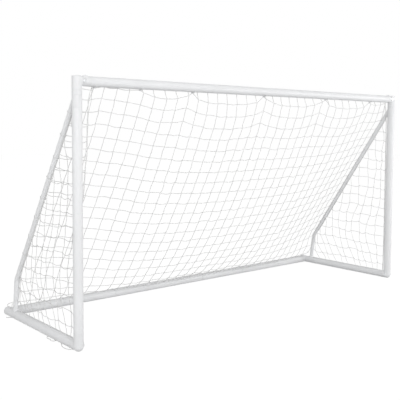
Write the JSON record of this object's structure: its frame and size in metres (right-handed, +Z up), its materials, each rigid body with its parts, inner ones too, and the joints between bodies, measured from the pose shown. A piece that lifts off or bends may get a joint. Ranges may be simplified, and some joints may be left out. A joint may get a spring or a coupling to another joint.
{
  "type": "portable soccer goal",
  "caption": "Free-standing soccer goal of white plastic tube with bent back stays, push-button corner fittings, clip-on net and a ground frame.",
  "frame": {"origin": "bottom centre of the bounding box, on the ground", "axes": "+X along the crossbar, +Y from the goal mouth to the rear bar, +Z up"},
  "size_m": [3.66, 1.1506, 1.838],
  "materials": {
    "tube_plastic": "white extruded plastic tube, satin gloss",
    "fitting_plastic": "white moulded plastic, fine satin",
    "net_twine": "white knotted twine",
    "zinc_steel": "bright zinc plate"
  },
  "bodies": {
    "frame": {"crossbar_left": "tube_plastic", "crossbar_middle": "tube_plastic", "crossbar_right": "tube_plastic", "upright_upper_left": "tube_plastic", "upright_upper_right": "tube_plastic", "upright_lower_left": "tube_plastic", "upright_lower_right": "tube_plastic", "side_bar_left": "tube_plastic", "side_bar_right": "tube_plastic", "rear_bar_left": "tube_plastic", "rear_bar_middle": "tube_plastic", "rear_bar_right": "tube_plastic", "stay_upper_left": "tube_plastic", "stay_upper_right": "tube_plastic", "stay_lower_left": "tube_plastic", "stay_lower_right": "tube_plastic", "stay_foot_left": "tube_plastic", "stay_foot_right": "tube_plastic", "stay_coupler_left": "zinc_steel", "stay_coupler_right": "zinc_steel", "top_corner_left": "fitting_plastic", "top_corner_right": "fitting_plastic", "foot_elbow_left": "fitting_plastic", "foot_elbow_right": "fitting_plastic", "rear_corner_left": "fitting_plastic", "rear_corner_right": "fitting_plastic", "end_cap_left": "fitting_plastic", "end_cap_right": "fitting_plastic", "crossbar_screw_left": "zinc_steel", "crossbar_screw_right": "zinc_steel", "foot_screw_left": "zinc_steel", "foot_screw_right": "zinc_steel", "crossbar_net_clip_1": "fitting_plastic", "crossbar_net_clip_2": "fitting_plastic", "crossbar_net_clip_3": "fitting_plastic", "crossbar_net_clip_4": "fitting_plastic", "crossbar_net_clip_5": "fitting_plastic", "crossbar_net_clip_6": "fitting_plastic", "rear_net_clip_1": "fitting_plastic", "rear_net_clip_2": "fitting_plastic", "rear_net_clip_3": "fitting_plastic", "rear_net_clip_4": "fitting_plastic", "rear_net_clip_5": "fitting_plastic", "net_back": "net_twine", "net_left": "net_twine", "net_right": "net_twine", "lock_spring_left": "zinc_steel", "lock_spring_right": "zinc_steel", "snap_spring_upper_left": "zinc_steel", "snap_spring_upper_right": "zinc_steel", "snap_spring_lower_left": "zinc_steel", "snap_spring_lower_right": "zinc_steel"},
    "lock_button_left_body": {"lock_button_left": "fitting_plastic"},
    "lock_button_right_body": {"lock_button_right": "fitting_plastic"},
    "snap_button_upper_left_body": {"snap_button_upper_left": "zinc_steel"},
    "snap_button_upper_right_body": {"snap_button_upper_right": "zinc_steel"},
    "snap_button_lower_left_body": {"snap_button_lower_left": "zinc_steel"},
    "snap_button_lower_right_body": {"snap_button_lower_right": "zinc_steel"}
  },
  "joints": [
    {"name": "lock_button_left_press", "type": "slide", "parent": "frame", "child": "lock_button_left_body", "axis": [0, 0, -1], "range_m": [0, 0.0108], "stiffness_N_per_m": 600, "springref_m": -0.006, "deforming": ["lock_spring_left"]},
    {"name": "lock_button_right_press", "type": "slide", "parent": "frame", "child": "lock_button_right_body", "axis": [0, 0, -1], "range_m": [0, 0.0108], "stiffness_N_per_m": 600, "springref_m": -0.006, "deforming": ["lock_spring_right"]},
    {"name": "snap_button_upper_left_press", "type": "slide", "parent": "frame", "child": "snap_button_upper_left_body", "axis": [-1, 0, 0], "range_m": [0, 0.0065], "stiffness_N_per_m": 800, "springref_m": -0.003, "deforming": ["snap_spring_upper_left"]},
    {"name": "snap_button_upper_right_press", "type": "slide", "parent": "frame", "child": "snap_button_upper_right_body", "axis": [1, 0, 0], "range_m": [0, 0.0065], "stiffness_N_per_m": 800, "springref_m": -0.003, "deforming": ["snap_spring_upper_right"]},
    {"name": "snap_button_lower_left_press", "type": "slide", "parent": "frame", "child": "snap_button_lower_left_body", "axis": [-1, 0, 0], "range_m": [0, 0.0065], "stiffness_N_per_m": 800, "springref_m": -0.003, "deforming": ["snap_spring_lower_left"]},
    {"name": "snap_button_lower_right_press", "type": "slide", "parent": "frame", "child": "snap_button_lower_right_body", "axis": [1, 0, 0], "range_m": [0, 0.0065], "stiffness_N_per_m": 800, "springref_m": -0.003, "deforming": ["snap_spring_lower_right"]}
  ]
}
